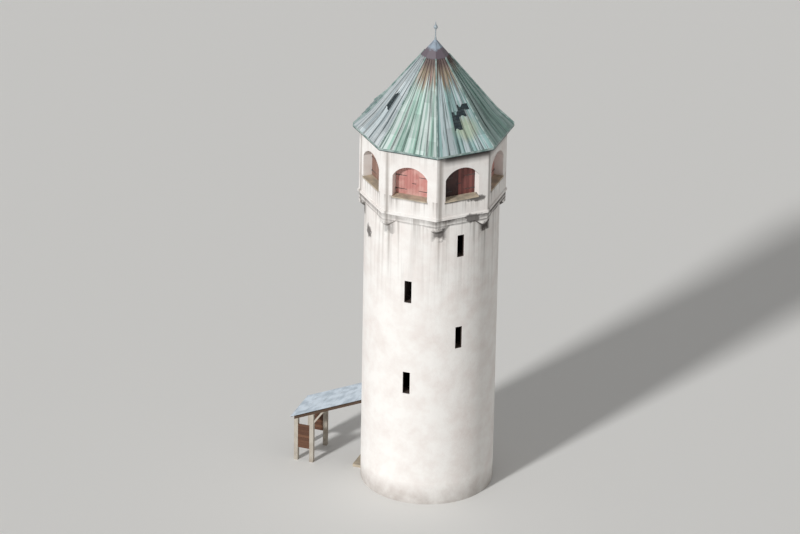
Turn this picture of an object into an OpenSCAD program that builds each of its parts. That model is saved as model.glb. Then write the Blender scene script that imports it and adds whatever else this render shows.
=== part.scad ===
// Lookout tower: a round limewashed masonry shaft with slit windows, an eight-sided top room on
// corner corbels with an arched opening on each face, a copper-covered pyramid roof with a slight
// bell cast, and a small timber porch over the entrance.
// Units are millimetres, +Z is up, and the origin is the middle of the shaft on the ground.
// The entrance faces -Y. An angle of 0 is the face towards +X, and faces follow every 45 degrees.
// The shaft's wall is split into eight parts, one under each face of the top room.

/* [Shaft] */
// Outer diameter of the shaft
shaft_w = 6440; // [6200:20:6440]
// Shaft wall thickness
shaft_wall = 600; // [400:25:800]
// Height of the shaft up to the tips of the corbels
shaft_h = 14400; // [14300:50:16500]
// Thickness of the ground floor
ground_floor_t = 150; // [100:10:250]

/* [Slit windows] */
// Width of a slit at the outer face
slit_w = 360; // [250:10:450]
// Height of a slit
slit_h = 1150; // [800:10:1300]
// Wall between the top of the highest slit and the tips of the corbels
slit_under_corbel = 100; // [50:5:600]
// Rise from one slit to the next one round the shaft
slit_rise = 2420; // [1600:10:2430]
// Depth of the straight part of the slit before it splays
slit_straight = 150; // [100:10:250]
// Width that the splay adds on each side at the inner face
slit_splay = 220; // [100:10:350]

/* [Doorway] */
// Width of the doorway
door_w = 1100; // [800:10:1300]
// Height of the doorway above the ground floor
door_h = 2150; // [1900:10:2400]
// Width of the timber door frame
door_frame_w = 90; // [60:5:120]
// Thickness of the door leaf
door_leaf_t = 60; // [40:5:80]
// Depth of the leaf behind the outer wall face
door_recess = 200; // [100:10:300]
// Projection of the stone step
step_out = 350; // [250:10:500]
// Width of the step beside the doorway, on each side
step_side = 150; // [50:10:300]

/* [Top room] */
// Width of the top room across flats
room_w = 6460; // [6460:10:6760]
// Wall thickness of the top room
room_wall = 500; // [350:10:520]
// Height of the corbel course
corbel_h = 550; // [400:10:700]
// Reach of a corner corbel at its top
corbel_reach = 640; // [520:10:700]
// Depth of a corbel's tip inside the wall
corbel_root = 60; // [40:5:100]
// Thickness of the top room floor
room_floor_t = 250; // [150:10:300]
// Height of the parapet above that floor
parapet_h = 1000; // [900:10:1200]
// Thickness of the sill slabs
sill_t = 60; // [40:5:100]
// Projection of the sills in front of the wall
sill_out = 40; // [20:5:80]
// Width of an arched opening
arch_w = 1740; // [1200:10:1900]
// Height of an arched opening above its sill
arch_h = 1600; // [1400:10:1800]
// Rise of the segmental arch
arch_rise = 520; // [300:10:600]
// Masonry between the crown of the arch and the top of the wall
arch_cover = 870; // [600:10:1000]
// Thickness of the boarded shutters
shutter_t = 50; // [30:5:80]
// Clearance round a shutter and between its two leaves
shutter_gap = 6; // [4:1:15]

/* [String course] */
// Height of the string course
string_h = 150; // [80:5:250]
// Projection of the string course
string_out = 60; // [30:5:100]

/* [Roof] */
// Width of the eaves across flats
eaves_w = 7060; // [6800:10:7400]
// Width across flats where the bell cast begins
break_w = 5500; // [4600:20:6000]
// Pitch of the bell-cast part
low_pitch = 46; // [40:1:50]
// Pitch of the main part
high_pitch = 52.5; // [51:0.5:58]
// Vertical thickness of the boarded roof deck
deck_v = 110; // [80:5:160]
// Vertical thickness of the copper covering
copper_v = 20; // [14:1:30]
// Trays of copper on each face
tray_count = 5; // [3:1:7]
// Width of a standing seam
seam_w = 28; // [20:1:40]
// Height of a standing seam
seam_h = 45; // [30:1:60]
// Width of the hip battens
hip_w = 60; // [40:2:90]
// Height of the hip battens
hip_h = 75; // [50:5:100]
// Width of the wall plate
plate_w = 240; // [160:10:300]
// Height of the wall plate at the wall face
plate_h = 220; // [150:10:300]
// Width of the lead cap across flats
cap_w = 1240; // [900:20:1600]
// Width of the flat top of the cap under the rod
cap_top_w = 120; // [80:5:180]
// Vertical thickness of the lead cap
cap_v = 30; // [20:1:40]

/* [Missing copper] */
// Distance in plan from the bell cast up to the tray that is missing
bare_up = 300; // [100:10:400]
// Length in plan of that tray
bare_run = 630; // [300:10:800]
// Length in plan of the lowest of three steps of missing copper, two faces further on
bare_low_step = 380; // [200:10:500]
// Length in plan of the middle step
bare_middle_step = 190; // [100:10:300]
// Length in plan of the highest step
bare_high_step = 190; // [100:10:300]

/* [Finial] */
// Width of the king post across flats
king_w = 200; // [190:10:260]
// Length of the king post below the deck
king_drop = 900; // [500:50:1500]
// Height of the rod above the cap
rod_h = 970; // [920:10:1200]
// Radius of the rod
rod_r = 25; // [15:1:40]
// Height of the cone at the foot of the rod
rod_foot_h = 200; // [100:10:280]
// Radius of the ball
ball_r = 100; // [60:5:140]
// Height of the ball above the cap
ball_up = 650; // [430:10:680]
// Radius of the collars above and below the ball
collar_r = 48; // [45:1:58]
// Height of the pointed tip
tip_h = 130; // [50:10:200]

/* [Porch] */
// Distance of the front posts from the wall
porch_post_out = 2400; // [1800:50:2600]
// Distance of the end posts from the wall
porch_end_out = 3200; // [2900:50:3600]
// Distance between the outer sides of the posts
porch_w = 2100; // [1800:50:2400]
// Section of the posts and side beams
porch_post = 200; // [120:5:220]
// Width of the cross beams
cross_w = 120; // [80:5:150]
// Depth of the cross beams
cross_h = 140; // [100:5:180]
// Reach of the knee braces along the side beams
brace_run = 550; // [300:10:700]
// Thickness of the knee braces
brace_w = 110; // [80:5:140]
// Height of the roof sheet where it meets the wall
porch_high = 3950; // [3750:50:4400]
// Pitch of the porch roof
porch_pitch = 24; // [15:1:28]
// Vertical thickness of the sheet roof
porch_roof_v = 70; // [50:5:100]
// Overhang of the sheet roof at the sides and at the end
porch_over = 150; // [80:10:250]
// Height of the lower edge of the side boarding
board_low = 700; // [300:10:900]
// Height of the side boarding
board_h = 1300; // [1000:10:1500]
// Thickness of the side boarding
board_t = 40; // [25:5:60]

/* [Hidden] */

// Reach of cutting shapes, and how far they pass through
far = 2 * eaves_w;
cut = 10;
// Facets of the round shaft
shaft_facets = 192;

// Angle from one face to the next, and from the middle of a face to its corner
face_angle = 360 / 8;
corner_angle = face_angle / 2;

// Face directions, as angles of the outward normal
A_RIGHT = 0;
A_BACK_RIGHT = face_angle;
A_BACK = 2 * face_angle;
A_BACK_LEFT = 3 * face_angle;
A_LEFT = 4 * face_angle;
A_FRONT_LEFT = 5 * face_angle;
A_FRONT = 6 * face_angle;
A_FRONT_RIGHT = 7 * face_angle;
SQUARE = [A_RIGHT, A_BACK, A_LEFT, A_FRONT];
DIAGONAL = [A_BACK_RIGHT, A_BACK_LEFT, A_FRONT_LEFT, A_FRONT_RIGHT];
FACES = concat(SQUARE, DIAGONAL);

// Radii of the shaft
shaft_r = shaft_w / 2;
shaft_in = shaft_r - shaft_wall;

// Half widths across flats
room_r = room_w / 2;
room_in = room_r - room_wall;
eaves_r = eaves_w / 2;
break_r = break_w / 2;
cap_r = cap_w / 2;
king_r = king_w / 2;

// Levels
room_base_z = shaft_h + corbel_h;
room_floor_z = room_base_z + room_floor_t;
sill_z = room_floor_z + parapet_h;
crown_z = sill_z + arch_h;
spring_z = crown_z - arch_rise;
wall_top_z = crown_z + arch_cover;
door_top_z = ground_floor_t + door_h;

// The underside of the deck meets the outer top edge of the wall plate at the wall face
eaves_z = wall_top_z + plate_h + deck_v + copper_v - (eaves_r - room_r) * tan(low_pitch);
break_z = eaves_z + (eaves_r - break_r) * tan(low_pitch);
apex_z = break_z + break_r * tan(high_pitch);

// Radius of the arch from its rise and half width
arch_r = (pow(arch_w / 2, 2) + pow(arch_rise, 2)) / (2 * arch_rise);

// Sills of the slits on two neighbouring faces, repeated on the two opposite faces
slit_top_sill = shaft_h - slit_under_corbel - slit_h;
SLIT_LOW = [slit_top_sill - 3 * slit_rise, slit_top_sill - slit_rise];
SLIT_HIGH = [slit_top_sill - 2 * slit_rise, slit_top_sill];

// Missing copper, as [first tray edge, last tray edge, start, end], the last two measured in plan
// from the bell cast upwards. Tray edges count from one hip towards the other.
bare_tray = floor(tray_count / 2);
bare_middle = bare_low_step + bare_middle_step;
BARE_FRONT_RIGHT = [[bare_tray, bare_tray + 1, bare_up, bare_up + bare_run]];
BARE_BACK_RIGHT = [
  [tray_count - 3, tray_count - 2, 0, bare_low_step],
  [tray_count - 3, tray_count - 1, bare_low_step - cut, bare_middle],
  [tray_count - 2, tray_count - 0.25, bare_middle - cut, bare_middle + bare_high_step]];

// Porch places, measured outwards from the middle of the round wall. What meets the wall starts
// behind it, where the wall is furthest back over the width of the roof, and is cut to it.
porch_end = porch_end_out + porch_post / 2;
porch_clear = porch_roof_v + porch_post;
porch_start = sqrt(pow(shaft_r, 2) - pow(porch_w / 2 + porch_over, 2)) - shaft_r - cut;

LIME = [0.96, 0.95, 0.92];
STONE = [0.80, 0.76, 0.68];
PATINA = [0.62, 0.76, 0.72];
LEAD = [0.50, 0.54, 0.58];
TIMBER = [0.42, 0.32, 0.26];
RED = [0.78, 0.50, 0.47];
SHEET = [0.78, 0.82, 0.86];

// Height of the copper's upper surface at a distance from the axis
function roof_z(r) = r > break_r
  ? eaves_z + (eaves_r - r) * tan(low_pitch)
  : break_z + (break_r - r) * tan(high_pitch);

// Height of the flat top of the cap
cap_top_z = roof_z(cap_top_w / 2) + cap_v;

// Height of the porch roof's upper surface at a distance from the wall
function porch_z(out) = porch_high - out * tan(porch_pitch);

// Outline of a roof layer from an inner to an outer distance, lying down_v below the surface
function roof_layer(r_from, r_to, down_v, layer_v) = let (
    rs = r_to > break_r && r_from < break_r ? [r_from, break_r, r_to] : [r_from, r_to],
    top = [for (r = rs) [r, roof_z(r) - down_v]],
    low = [for (i = [len(rs) - 1 : -1 : 0]) [rs[i], roof_z(rs[i]) - down_v - layer_v]])
  concat(top, low);

// A rectangle in the plane of distance and height
function block(r_from, r_to, z_from, z_to) =
  [[r_from, z_from], [r_to, z_from], [r_to, z_to], [r_from, z_to]];

// Eighth of a full turn about the axis, as an upright prism round the +X direction
module sector(top) {
  translate([0, 0, -cut])
    linear_extrude(top + 2 * cut)
      polygon([[0, 0], [far, -far * tan(corner_angle)], [far, far * tan(corner_angle)]]);
}

// One face of an octagonal course, mitred at both corners
module face_piece(outline, angle) {
  rotate([0, 0, angle])
    intersection() {
      rotate([90, 0, 0])
        linear_extrude(far, center = true)
          polygon(outline);
      sector(apex_z);
    }
}

// Straight prism across one face, without mitres
module face_bar(outline, width, angle) {
  rotate([0, 0, angle])
    rotate([90, 0, 0])
      linear_extrude(width, center = true)
        polygon(outline);
}

// Octagonal slab
module octagon(r, z_from, z_to) {
  translate([0, 0, z_from])
    rotate([0, 0, corner_angle])
      cylinder(h = z_to - z_from, r = r / cos(corner_angle), $fn = 8);
}

// Octagonal ring or cap from an outline in the plane of distance and height
module octagon_ring(outline) {
  rotate([0, 0, corner_angle])
    rotate_extrude($fn = 8)
      polygon([for (p = outline) [p[0] / cos(corner_angle), p[1]]]);
}

// Round slab
module disc(r, z_from, z_to) {
  translate([0, 0, z_from])
    cylinder(h = z_to - z_from, r = r, $fn = shaft_facets);
}

// Part of the round shaft wall under one face, between two levels
module shaft_piece(angle, z_from, z_to) {
  rotate([0, 0, angle - corner_angle])
    rotate_extrude(angle = face_angle, $fn = shaft_facets)
      polygon(block(shaft_in, shaft_r, z_from, z_to));
}

// Shaft wall in three lifts that leave the heights of its two slits free
module slit_wall(angle, slits) {
  shaft_piece(angle, 0, slits[0]);
  shaft_piece(angle, slits[0] + slit_h, slits[1]);
  shaft_piece(angle, slits[1] + slit_h, shaft_h);
}

// Masonry left and right of a slit, with the splay towards the inside
module jamb_pair(angle, sill) {
  half = slit_w / 2;
  difference() {
    shaft_piece(angle, sill, sill + slit_h);
    rotate([0, 0, angle])
      translate([0, 0, sill - cut])
        linear_extrude(slit_h + 2 * cut)
          polygon([
            [shaft_r + cut, -half],
            [shaft_r + cut, half],
            [shaft_r - slit_straight, half],
            [shaft_in, half + slit_splay],
            [0, half + slit_splay],
            [0, -half - slit_splay],
            [shaft_in, -half - slit_splay],
            [shaft_r - slit_straight, -half]]);
  }
}

module ground_floor() {
  color(STONE)
    disc(shaft_in, 0, ground_floor_t);
}

// Upright prism through the doorway
module doorway() {
  translate([-door_w / 2, -far, -cut])
    cube([door_w, far, door_top_z + 2 * cut]);
}

// Step in front of the doorway with the threshold that runs in through the wall to the floor
module door_step() {
  step_w = door_w + 2 * step_side;
  color(STONE)
    difference() {
      translate([-step_w / 2, -shaft_r - step_out, 0])
        cube([step_w, step_out + shaft_r, ground_floor_t]);
      disc(shaft_in, -cut, door_top_z);
      difference() {
        disc(shaft_r, -cut, door_top_z);
        doorway();
      }
    }
}

module front_wall_beside_door() {
  color(LIME)
    difference() {
      shaft_piece(A_FRONT, 0, door_top_z);
      doorway();
    }
}

module front_wall() {
  color(LIME)
    shaft_piece(A_FRONT, door_top_z, shaft_h);
}

module front_right_wall() {
  color(LIME)
    shaft_piece(A_FRONT_RIGHT, 0, shaft_h);
}

module right_wall() {
  color(LIME)
    slit_wall(A_RIGHT, SLIT_LOW);
}

module back_right_wall() {
  color(LIME)
    slit_wall(A_BACK_RIGHT, SLIT_HIGH);
}

module back_wall() {
  color(LIME)
    shaft_piece(A_BACK, 0, shaft_h);
}

module back_left_wall() {
  color(LIME)
    shaft_piece(A_BACK_LEFT, 0, shaft_h);
}

module left_wall() {
  color(LIME)
    slit_wall(A_LEFT, SLIT_LOW);
}

module front_left_wall() {
  color(LIME)
    slit_wall(A_FRONT_LEFT, SLIT_HIGH);
}

module slit_jambs() {
  color(LIME) {
    for (angle = [A_RIGHT, A_LEFT], sill = SLIT_LOW)
      jamb_pair(angle, sill);
    for (angle = [A_BACK_RIGHT, A_FRONT_LEFT], sill = SLIT_HIGH)
      jamb_pair(angle, sill);
  }
}

// Frame of two jambs and a head, standing on the threshold
module door_frame() {
  clear_w = door_w - 2 * door_frame_w;
  color(TIMBER)
    translate([0, -shaft_r + door_recess + door_frame_w, ground_floor_t])
      rotate([90, 0, 0])
        linear_extrude(2 * door_frame_w)
          difference() {
            translate([-door_w / 2, 0])
              square([door_w, door_h]);
            translate([-clear_w / 2, -cut])
              square([clear_w, door_h - door_frame_w + cut]);
          }
}

module door_leaf() {
  leaf_w = door_w - 2 * door_frame_w;
  color(TIMBER)
    translate([-leaf_w / 2, -shaft_r + door_recess - door_leaf_t / 2, ground_floor_t])
      cube([leaf_w, door_leaf_t, door_h - door_frame_w]);
}

// Top course of the round wall under each face, with half of the corbel at each of its corners.
// A corbel is an upturned eight-sided pyramid that grows out of the wall and is cut flush with
// both faces. The course itself stays round, however wide the room is.
module corbel(angles) {
  tip_z = shaft_h + cut;
  color(LIME)
    for (angle = angles)
      rotate([0, 0, angle])
        intersection() {
          difference() {
            union() {
              disc(shaft_r, shaft_h, room_base_z);
              intersection() {
                for (side = [-corner_angle, corner_angle])
                  rotate([0, 0, side])
                    translate([shaft_r - corbel_root, 0, tip_z])
                      cylinder(h = room_base_z - tip_z, r1 = 0, r2 = corbel_reach, $fn = 8);
                octagon(room_r, shaft_h - cut, room_base_z + cut);
              }
            }
            disc(shaft_in, shaft_h - cut, room_base_z + cut);
          }
          sector(apex_z);
        }
}

module room_floor() {
  color(TIMBER)
    octagon(room_in, room_base_z, room_floor_z);
}

module parapet(angles) {
  color(LIME)
    for (angle = angles)
      face_piece(block(room_in, room_r, room_base_z, sill_z - sill_t), angle);
}

module string_course() {
  outline = [
    [room_r, room_floor_z],
    [room_r + string_out, room_floor_z + string_h * 0.3],
    [room_r + string_out, room_floor_z + string_h],
    [room_r, room_floor_z + string_h * 1.2]];
  color(LIME)
    octagon_ring(outline);
}

module sills() {
  color(STONE)
    for (angle = FACES)
      face_bar(block(room_in, room_r + sill_out, sill_z - sill_t, sill_z), arch_w, angle);
}

module corner_piers() {
  color(LIME)
    difference() {
      octagon(room_r, sill_z - sill_t, wall_top_z);
      octagon(room_in, sill_z - sill_t - cut, wall_top_z + cut);
      for (angle = FACES)
        rotate([0, 0, angle])
          translate([0, -arch_w / 2, sill_z - sill_t - cut])
            cube([far, arch_w, wall_top_z - sill_z + sill_t + 2 * cut]);
    }
}

module arch_heads(angles) {
  color(LIME)
    for (angle = angles)
      difference() {
        face_bar(block(room_in, room_r, spring_z, wall_top_z), arch_w, angle);
        rotate([0, 0, angle])
          translate([0, 0, crown_z - arch_r])
            rotate([0, 90, 0])
              cylinder(h = far, r = arch_r, $fn = 96);
      }
}

// Pair of arched leaves that closes each opening, standing on the sill at the inner side
module shutters() {
  half = arch_w / 2 - shutter_gap;
  color(RED)
    for (angle = FACES)
      rotate([0, 0, angle])
        intersection() {
          for (y = [-half, shutter_gap / 2])
            translate([room_in, y, sill_z])
              cube([shutter_t, half - shutter_gap / 2, arch_h]);
          translate([0, 0, crown_z - arch_r])
            rotate([0, 90, 0])
              cylinder(h = far, r = arch_r - shutter_gap, $fn = 96);
        }
}

// Timber plate with a bevelled outer edge under the slope of the roof deck
module wall_plate() {
  under = deck_v + copper_v;
  outline = [
    [room_r, wall_top_z],
    [room_r, roof_z(room_r) - under],
    [room_r - plate_w, roof_z(room_r - plate_w) - under],
    [room_r - plate_w, wall_top_z]];
  color(TIMBER)
    octagon_ring(outline);
}

module roof_deck(angles) {
  color(TIMBER)
    for (angle = angles)
      face_piece(roof_layer(king_r, eaves_r, copper_v, deck_v), angle);
}

// Standing seam in the upright plane that turns phi away from the middle of its face
module seam(phi, r_from) {
  stretch = 1 / cos(phi);
  outline = roof_layer(r_from, eaves_r, -seam_h, seam_h + copper_v / 2);
  rotate([0, 0, phi])
    rotate([90, 0, 0])
      linear_extrude(seam_w, center = true)
        polygon([for (p = outline) [p[0] * stretch, p[1]]]);
}

// Sideways place of a tray edge at a distance from the axis
function tray_y(edge, r) = (2 * edge / tray_count - 1) * r * tan(corner_angle);

// Upright prism through the copper between two tray edges and two distances from the bell cast.
// It leaves the seams at its two sides standing.
module bare_patch(first, last, start, end) {
  side = seam_w / 2;
  low_r = break_r - start;
  top_r = break_r - end;
  translate([0, 0, eaves_z])
    linear_extrude(apex_z)
      polygon([
        [top_r, tray_y(first, top_r) + side],
        [low_r, tray_y(first, low_r) + side],
        [low_r, tray_y(last, low_r) - side],
        [top_r, tray_y(last, top_r) - side]]);
}

// Copper on one face: the sheet and the seams between its tapering trays
module copper(angle, bare = []) {
  color(PATINA)
    difference() {
      union() {
        face_piece(roof_layer(king_r, eaves_r, 0, copper_v), angle);
        rotate([0, 0, angle])
          for (i = [1 : tray_count - 1])
            seam(atan(tray_y(i, 1)), cap_r);
      }
      rotate([0, 0, angle])
        for (patch = bare)
          bare_patch(patch[0], patch[1], patch[2], patch[3]);
    }
}

module copper_front() {
  copper(A_FRONT);
}

module copper_front_right() {
  copper(A_FRONT_RIGHT, BARE_FRONT_RIGHT);
}

module copper_right() {
  copper(A_RIGHT);
}

module copper_back_right() {
  copper(A_BACK_RIGHT, BARE_BACK_RIGHT);
}

module copper_back() {
  copper(A_BACK);
}

module copper_back_left() {
  copper(A_BACK_LEFT);
}

module copper_left() {
  copper(A_LEFT);
}

module copper_front_left() {
  copper(A_FRONT_LEFT);
}

// Covered batten along each hip, its underside cut to the two faces that meet there
module hip_rolls() {
  stretch = 1 / cos(corner_angle);
  outline = roof_layer(cap_r, eaves_r, -hip_h, hip_h + copper_v);
  color(PATINA)
    difference() {
      for (angle = FACES)
        rotate([0, 0, angle + corner_angle])
          rotate([90, 0, 0])
            linear_extrude(hip_w, center = true)
              polygon([for (p = outline) [p[0] * stretch, p[1]]]);
      for (angle = FACES)
        face_piece(roof_layer(0, eaves_r + hip_w, 0, eaves_r), angle);
    }
}

// Cap over the top of the roof, filled above the king post, with a flat top for the rod
module roof_cap() {
  top_r = cap_top_w / 2;
  outline = [
    [0, roof_z(king_r)],
    [king_r, roof_z(king_r)],
    [cap_r, roof_z(cap_r)],
    [cap_r, roof_z(cap_r) + cap_v],
    [top_r, cap_top_z],
    [0, cap_top_z]];
  color(LEAD)
    octagon_ring(outline);
}

module king_post() {
  color(TIMBER)
    octagon(king_r, roof_z(king_r) - king_drop, roof_z(king_r));
}

// Rod with a conical foot, a ball between two collars and a pointed tip
module finial() {
  collar_h = ball_r / 4;
  color(LEAD)
    translate([0, 0, cap_top_z]) {
      cylinder(h = rod_foot_h, r1 = cap_top_w / 2, r2 = rod_r, $fn = 48);
      cylinder(h = rod_h - tip_h, r = rod_r, $fn = 48);
      for (z = [ball_up - ball_r - collar_h / 2, ball_up + ball_r - collar_h / 2])
        translate([0, 0, z])
          cylinder(h = collar_h, r = collar_r, $fn = 48);
      translate([0, 0, ball_up])
        sphere(r = ball_r, $fn = 48);
      translate([0, 0, rod_h - tip_h])
        cylinder(h = tip_h, r1 = rod_r, r2 = 1, $fn = 48);
    }
}

// What lies outside the round wall
module outside_wall() {
  difference() {
    children();
    disc(shaft_r, 0, shaft_h);
  }
}

// Prism with an outline in the plane of distance from the wall and height
module porch_bar(outline, x_from, width) {
  translate([x_from, -shaft_r, 0])
    rotate([90, 0, 90])
      linear_extrude(width)
        polygon([for (p = outline) [-p[0], p[1]]]);
}

// Underside of the side beams
function beam_under(out) = porch_z(out) - porch_clear;

// Posts at both sides, the front ones with a knee brace towards the wall
module porch_posts() {
  half = porch_post / 2;
  near = porch_post_out - half;
  foot_z = beam_under(near) - brace_run;
  color(TIMBER)
    for (x = [-porch_w / 2, porch_w / 2 - porch_post]) {
      for (out = [porch_post_out, porch_end_out])
        porch_bar([
          [out - half, 0],
          [out + half, 0],
          [out + half, beam_under(out + half)],
          [out - half, beam_under(out - half)]], x, porch_post);
      porch_bar([
        [near, foot_z],
        [near, foot_z + brace_w * sqrt(2)],
        [near - brace_run + brace_w * sqrt(2), beam_under(near - brace_run + brace_w * sqrt(2))],
        [near - brace_run, beam_under(near - brace_run)]],
        x + (porch_post - brace_w) / 2, brace_w);
    }
}

module porch_side_beams() {
  color(TIMBER)
    for (x = [-porch_w / 2, porch_w / 2 - porch_post])
      outside_wall()
        porch_bar([
          [porch_start, porch_z(porch_start) - porch_clear],
          [porch_end, porch_z(porch_end) - porch_clear],
          [porch_end, porch_z(porch_end) - porch_roof_v],
          [porch_start, porch_z(porch_start) - porch_roof_v]], x, porch_post);
}

// Cross beams between the side beams: a wall piece that is hollowed to the round wall, and one
// over the front posts and over the end posts
module porch_cross_beams() {
  inner = porch_w - 2 * porch_post;
  beams = [
    [porch_start, cross_w],
    [porch_post_out - cross_w / 2, porch_post_out + cross_w / 2],
    [porch_end_out - cross_w / 2, porch_end_out + cross_w / 2]];
  color(TIMBER)
    for (b = beams)
      outside_wall()
        porch_bar([
          [b[0], porch_z(b[0]) - porch_roof_v - cross_h],
          [b[1], porch_z(b[1]) - porch_roof_v - cross_h],
          [b[1], porch_z(b[1]) - porch_roof_v],
          [b[0], porch_z(b[0]) - porch_roof_v]], -inner / 2, inner);
}

module porch_roof() {
  out = porch_end + porch_over;
  color(SHEET)
    outside_wall()
      porch_bar([
        [porch_start, porch_z(porch_start) - porch_roof_v],
        [out, porch_z(out) - porch_roof_v],
        [out, porch_z(out)],
        [porch_start, porch_z(porch_start)]], -porch_w / 2 - porch_over, porch_w + 2 * porch_over);
}

module porch_boarding() {
  from = porch_post_out + porch_post / 2;
  to = porch_end_out - porch_post / 2;
  color(TIMBER)
    for (x = [-porch_w / 2, porch_w / 2 - board_t])
      porch_bar(block(from, to, board_low, board_low + board_h), x, board_t);
}

ground_floor();
door_step();
front_wall_beside_door();
front_wall();
front_right_wall();
right_wall();
back_right_wall();
back_wall();
back_left_wall();
left_wall();
front_left_wall();
slit_jambs();
door_frame();
door_leaf();
corbel(SQUARE);  // corbel_square
corbel(DIAGONAL);  // corbel_diagonal
room_floor();
parapet(SQUARE);  // parapet_square
parapet(DIAGONAL);  // parapet_diagonal
string_course();
sills();
corner_piers();
arch_heads(SQUARE);  // arch_heads_square
arch_heads(DIAGONAL);  // arch_heads_diagonal
shutters();
wall_plate();
roof_deck(SQUARE);  // roof_deck_square
roof_deck(DIAGONAL);  // roof_deck_diagonal
copper_front();
copper_front_right();
copper_right();
copper_back_right();
copper_back();
copper_back_left();
copper_left();
copper_front_left();
hip_rolls();
roof_cap();
king_post();
finial();
porch_posts();
porch_side_beams();
porch_cross_beams();
porch_roof();
porch_boarding();
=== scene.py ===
# %% [markdown]
# # A fire lookout tower
#
# The tower is a round shaft of limewashed brick with slit windows. An eight-sided room stands on
# it, its corners carried by corbels, with an arched, shuttered opening on each side. Eight slopes
# of green copper cover it, and a small timber porch shelters the entrance. This lesson dresses a
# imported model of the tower: the construction comes from the frame and isn't moved, and each cell
# adds one finish or one kind of small piece.

# %% Load the frame
import math
import random

import bmesh
import bpy
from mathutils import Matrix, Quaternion, Vector


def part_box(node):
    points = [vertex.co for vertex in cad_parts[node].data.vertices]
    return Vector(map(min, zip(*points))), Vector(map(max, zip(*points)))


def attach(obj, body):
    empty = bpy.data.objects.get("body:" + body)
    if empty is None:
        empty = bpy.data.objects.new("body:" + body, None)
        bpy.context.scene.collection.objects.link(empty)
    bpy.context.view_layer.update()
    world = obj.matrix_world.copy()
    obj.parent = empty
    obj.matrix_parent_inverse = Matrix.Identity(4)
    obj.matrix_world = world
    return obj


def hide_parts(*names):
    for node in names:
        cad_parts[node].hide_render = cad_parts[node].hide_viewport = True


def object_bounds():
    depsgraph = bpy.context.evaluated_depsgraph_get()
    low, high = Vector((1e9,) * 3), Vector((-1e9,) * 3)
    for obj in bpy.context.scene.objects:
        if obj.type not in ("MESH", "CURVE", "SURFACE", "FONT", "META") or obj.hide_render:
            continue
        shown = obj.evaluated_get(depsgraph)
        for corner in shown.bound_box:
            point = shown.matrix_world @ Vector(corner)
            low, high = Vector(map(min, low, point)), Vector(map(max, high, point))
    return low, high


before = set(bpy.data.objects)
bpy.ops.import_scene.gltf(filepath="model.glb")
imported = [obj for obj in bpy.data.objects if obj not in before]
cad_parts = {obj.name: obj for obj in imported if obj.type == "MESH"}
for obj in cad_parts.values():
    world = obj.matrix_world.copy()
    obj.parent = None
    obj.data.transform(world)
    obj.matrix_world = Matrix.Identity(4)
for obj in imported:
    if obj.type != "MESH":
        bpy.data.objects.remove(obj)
cad_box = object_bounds()
print("nodes:", len(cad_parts), "height:", round(cad_box[1].z, 2), "m")

# %% [markdown]
# ## Measures
#
# Everything that is added has to meet what is there, so its places come from the boxes of the
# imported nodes. Only sizes that a box can't give, such as a pitch, are written down. Each face of
# the top room is named by the angle of its outward direction: 0 looks along +X, and 270 looks out
# over the entrance.

# %% Measures taken from the frame
FACES = {"right": 0, "back_right": 45, "back": 90, "back_left": 135,
         "left": 180, "front_left": 225, "front": 270, "front_right": 315}
CORNER = math.radians(22.5)

# The shaft's walls end where the tips of the corbels begin
SHAFT_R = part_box("back_wall")[1].y
SHAFT_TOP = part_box("back_wall")[1].z
ROOM_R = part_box("parapet_square")[1].x
COURSE_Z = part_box("string_course")[0].z
CORBEL_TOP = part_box("corbel_square")[1].z
SILL_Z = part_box("sills")[1].z
SILL_T = SILL_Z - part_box("sills")[0].z
SHUTTER_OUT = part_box("shutters")[1].x
WALL_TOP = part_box("corner_piers")[1].z
EAVES_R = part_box("roof_deck_square")[1].x

# The arched openings: width, height over the sill, rise and radius of the arch, and its crown
ARCH_W = 1.74
ARCH_H = 1.60
ARCH_RISE = 0.52
ARCH_RADIUS = ((ARCH_W / 2) ** 2 + ARCH_RISE ** 2) / (2 * ARCH_RISE)
CROWN_Z = SILL_Z + ARCH_H

# The roof: the copper's thickness measured upright, and the break where the slope steepens
COPPER_V = 0.020
LOW_PITCH = math.radians(46)
HIGH_PITCH = math.radians(52.5)
BREAK_R = 2.75
TRAYS = 5
EAVES_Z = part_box("copper_right")[0].z + COPPER_V
BREAK_Z = EAVES_Z + (EAVES_R - BREAK_R) * math.tan(LOW_PITCH)
APEX_Z = BREAK_Z + BREAK_R * math.tan(HIGH_PITCH)
print("eaves", round(EAVES_Z, 3), "break", round(BREAK_Z, 3), "apex", round(APEX_Z, 3))


def roof_z(r):
    """Height of the copper's surface at a distance from the axis, measured square to a face."""
    if r > BREAK_R:
        return EAVES_Z + (EAVES_R - r) * math.tan(LOW_PITCH)
    return BREAK_Z + (BREAK_R - r) * math.tan(HIGH_PITCH)


def on_face(face, out, side, z):
    """A point from its distance out of the axis towards a face, a step to the side, and a height."""
    a = math.radians(FACES[face])
    return Vector((out * math.cos(a) - side * math.sin(a),
                   out * math.sin(a) + side * math.cos(a), z))


# %% [markdown]
# ## Making meshes
#
# Boards, welts, straps and bars are all prisms: two outlines with the same number of points, joined
# by sides. One function adds such a prism to a growing mesh, and another turns the mesh into a
# piece that rides on the tower. A short bevel on every edge catches the light, as a real edge does.

# %% Prisms and pieces
def prism(mesh, near, far, tone=0.5):
    """Join two outlines by sides and close both ends. The tone is kept on every face of it."""
    layer = mesh.faces.layers.float.get("tone") or mesh.faces.layers.float.new("tone")
    a = [mesh.verts.new(p) for p in near]
    b = [mesh.verts.new(p) for p in far]
    faces = [mesh.faces.new(a), mesh.faces.new(list(reversed(b)))]
    for i in range(len(a)):
        j = (i + 1) % len(a)
        faces.append(mesh.faces.new((a[j], a[i], b[i], b[j])))
    for face in faces:
        face[layer] = tone


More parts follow.
